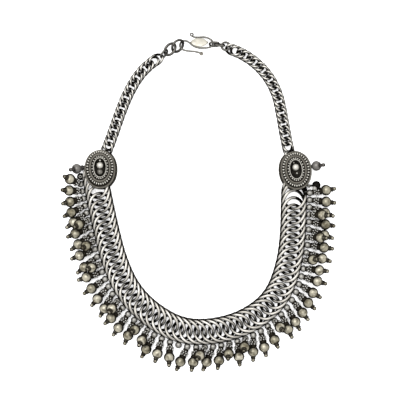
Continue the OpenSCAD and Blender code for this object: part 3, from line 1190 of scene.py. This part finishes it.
# Name and nodes; place and turns of each ring; radius of the bends, straight part and wire.
CLASP = (
    (
        "clasp_rings_left", ("ring_left_1", "ring_left_2"),
        (((-16.9, 91.2, 3.6), (-26.4, -33.4, 8.2)), ((-12.3, 93.1, 4), (38.8, 42.2, 6.2))),
        3.95, 0.0, 0.78,
    ),
    ("clasp_link_left", ("link_left",), (((-20.5, 88.7, 2.1), (57.2, 3.8, 50.2)),), 1.75, 2.0, 0.62),
    ("clasp_link_right_1", ("link_right_1",), (((9.7, 94.4, 2.5), (54.8, 0.4, 0.5)),), 1.65, 2.4, 0.6),
    ("clasp_link_right_2", ("link_right_2",), (((12.8, 94.1, 2.1), (-65.7, -0.1, -8.9)),), 1.65, 2.6, 0.6),
    ("clasp_ring_right", ("ring_right",), (((16.5, 93.3, 1.9), (-9.7, 6, 0.1)),), 2.5, 0.0, 0.65),
)
for name, nodes, rings, ring, straight, wire in CLASP:
    spots = [(point_at(*spot), radians_of(*turns)) for spot, turns in rings]
    build_rings(name, spots, ring, wire, 56, 14, straight, replaces=nodes)


# Hook
# The S-hook is bent from one silver wire. Its upper arm ends in a curl, its lower arm in a
# flattened blob, and a pale leaf hammered out flat lies across its middle.

# It is drawn flat and then rolled by HOOK_ROLL degrees about a line along its middle.
HOOK = {
    "start": (-3.8, 99.6, -28.0),
    "step": 3.0,
    "turns": (28, 5, -21, -24, -57, -64, -18, -5, -21, -22, 19, 59, 59, 56, 25, 6, -11, -15),
}
HOOK_LENGTH = 54.0
HOOK_STEPS = 108
HOOK_LINE = (0.0, 95.0, 2.36)
HOOK_ROLL = -14.6
# Thickness is told in parts of the tree's wire; the tip swells to the full wire.
HOOK_THICK = 1.15
TIP_THICK = 0.8
TIP_SWELL = 0.1
CURL_MIDDLE = (-3.9, 100.7)
CURL_RADIUS = 0.9
CURL_STEPS = 34
CURL_THICK = 0.84
LEAF_MIDDLE = (0.6, 95.6)
LEAF_HALF = 5.55
# Each edge of the leaf is an arc of this radius whose middle lies this far beyond the axis.
LEAF_ARC = 7.33
LEAF_ARC_BEYOND = 4.73
LEAF_BROAD = 1.1
LEAF_THICK = 0.4
LEAF_ROWS = 40
LEAF_AROUND = 24
# Height, radius and tone of the blob at the lower arm's end.
BLOB = ((-0.4, 0.9, 0.0), (-0.3, 1.15, 0.0), (0.3, 1.2, 0.05), (0.4, 0.95, 0.1))
HOOK_DARK = (0.015, 0.014, 0.012)
HOOK_BRIGHT = (0.125, 0.12, 0.108)
LEAF_DARK = (0.13, 0.12, 0.10)
LEAF_BRIGHT = (0.50, 0.48, 0.42)


def hook_place(x, y, z=0.0):
    """Matrix of a place on the rolled hook."""
    rolled = place_at(*HOOK_LINE, (HOOK_ROLL, 0, 0))
    return rolled @ Matrix.Translation((x, y - HOOK_LINE[1], z))


def hook_point(x, y, z=0.0):
    return hook_place(x, y, z).to_translation()


def bent_wire_tree():
    """Round wire along a line of points, as thick as each point says."""
    bench, given = new_tree("bent wire", {"Wire": 0.0005, "Sides": 14})
    wire = bench.add("GeometryNodeCurveToMesh", sockets={
        "Curve": bench.add("GeometryNodeMeshToCurve", sockets={"Mesh": given["Spots"]}),
        "Profile Curve": circle(bench, given["Sides"], given["Wire"]),
        "Scale": named_value(bench, "thick", "FLOAT"),
        "Fill Caps": True,
    })
    return close_tree(bench, given, wire)


def line_mesh(name, points):
    """Line of points, each with the thickness of the wire there."""
    mesh = bpy.data.meshes.new(name)
    edges = [(number, number + 1) for number in range(len(points) - 1)]
    mesh.from_pydata([point * MM for point, thick in points], edges, [])
    value = mesh.attributes.new("thick", "FLOAT", "POINT")
    value.data.foreach_set("value", [thick for point, thick in points])
    return mesh


def leaf_row(along):
    """Points round the hammered leaf at a distance from its middle."""
    half = math.sqrt(LEAF_ARC ** 2 - along ** 2) - LEAF_ARC_BEYOND
    row = []
    for step in range(LEAF_AROUND):
        angle = 2 * math.pi * step / LEAF_AROUND
        across = half * LEAF_BROAD * math.cos(angle)
        pillow = math.copysign(abs(math.sin(angle)) ** 0.7, math.sin(angle))
        height = LEAF_THICK * pillow * min(1.0, half)
        row.append(hook_point(LEAF_MIDDLE[0] + along, LEAF_MIDDLE[1] + across, height))
    return row


def hook_colour(bench):
    # Painted light and shade with some wear: faces that look up are lighter and sides darker, with noise.
    top_light_and_wear = bench.attribute("top") + bench.waver(0.6, 500.0, 4.0)
    return bench.mix(top_light_and_wear.between(0.1, 1.0), HOOK_DARK, HOOK_BRIGHT)


def leaf_colour(bench):
    # The leaf's pale colour is partly the hammered silver's own and partly a painted reflection of the
    # light; it is darker towards its ends.
    tone = bench.attribute("tone") + bench.waver(0.5, 350.0, 4.0)
    return bench.mix(tone.between(0.2, 0.85), LEAF_DARK, LEAF_BRIGHT)


bent_wires = bent_wire_tree()
hook_silver = metal("hook_silver", hook_colour, wire_rough, grain=(1500.0,), sheen=0.85)
leaf_silver = metal("leaf_silver", leaf_colour, wire_rough, grain=(500.0, 4.0), sheen=0.6)
course = []
for number in range(HOOK_STEPS + 1):
    x, y, heading = walk(HOOK, HOOK_LENGTH * number / HOOK_STEPS)
    course.append((hook_point(x, y), min(HOOK_THICK, TIP_THICK + TIP_SWELL * number)))
mesh = line_mesh("hook_line", course)
build("hook_wire", mesh, hook_silver, replaces=("s_hook",), tree=bent_wires)

curl = []
for number in range(CURL_STEPS - 1):
    angle = 2 * math.pi * number / CURL_STEPS
    x = CURL_MIDDLE[0] + CURL_RADIUS * math.cos(angle)
    y = CURL_MIDDLE[1] + CURL_RADIUS * math.sin(angle)
    curl.append((hook_point(x, y), CURL_THICK))
mesh = line_mesh("hook_curl_line", curl)
build("hook_curl", mesh, hook_silver, tree=bent_wires)

leaf = Shape()
places = [LEAF_HALF * (2 * number / LEAF_ROWS - 1) for number in range(LEAF_ROWS + 1)]
tones = [0.64 - 0.3 * abs(along / LEAF_HALF) ** 3 for along in places]
leaf.skin([leaf_row(along) for along in places], tones)
end_x, end_y, heading = walk(HOOK, HOOK_LENGTH)
leaf.turned(hook_place(end_x, end_y), BLOB, around=20)
build("hook_leaf", leaf.mesh("hook_leaf"), leaf_silver)


# Table, light and camera
# The collar lies on a plain white table under one large soft light, seen from straight
# above.
TABLE_REACH = 3.0
floor_mesh = bpy.data.meshes.new("table")
floor_mesh.from_pydata(
    [(x * TABLE_REACH, y * TABLE_REACH, 0) for x, y in ((-1, -1), (1, -1), (1, 1), (-1, 1))],
    [],
    [(0, 1, 2, 3)],
)
table = bpy.data.objects.new("table", floor_mesh)
bpy.context.scene.collection.objects.link(table)
table_white = bpy.data.materials.new("table_white")
table_white.use_nodes = True
table_white.node_tree.nodes.clear()
bench = Bench(table_white.node_tree)
paper = bench.add("ShaderNodeBsdfPrincipled", sockets={
    "Base Color": (0.96, 0.96, 0.96, 1.0),
    "Roughness": 0.9,
    "Emission Color": (1.0, 1.0, 1.0, 1.0),
    "Emission Strength": 0.4,
})
bench.add("ShaderNodeOutputMaterial", sockets={"Surface": paper})
floor_mesh.materials.append(table_white)

bpy.context.scene.view_settings.view_transform = "Standard"
sky = bpy.data.worlds.new("studio")
sky.use_nodes = True
background = sky.node_tree.nodes["Background"].inputs
background["Color"].default_value = (1.0, 1.0, 1.0, 1.0)
background["Strength"].default_value = 1.5
bpy.context.scene.world = sky

panel = bpy.data.lights.new("main_light", "AREA")
panel.shape = "RECTANGLE"
panel.size = 0.9
panel.size_y = 0.7
panel.energy = 10.0
lamp = bpy.data.objects.new("main_light", panel)
lamp.location = (-0.2, 0.3, 1.1)
lamp.rotation_euler = (-lamp.location).to_track_quat("-Z", "Y").to_euler()
bpy.context.scene.collection.objects.link(lamp)

optics = bpy.data.cameras.new("camera")
optics.sensor_width = 36.0
optics.lens = 83.6
optics.clip_start = 0.01
camera = bpy.data.objects.new("camera", optics)
camera.location = (0.00017, 0.00095, 0.56)
bpy.context.scene.collection.objects.link(camera)
bpy.context.scene.camera = camera
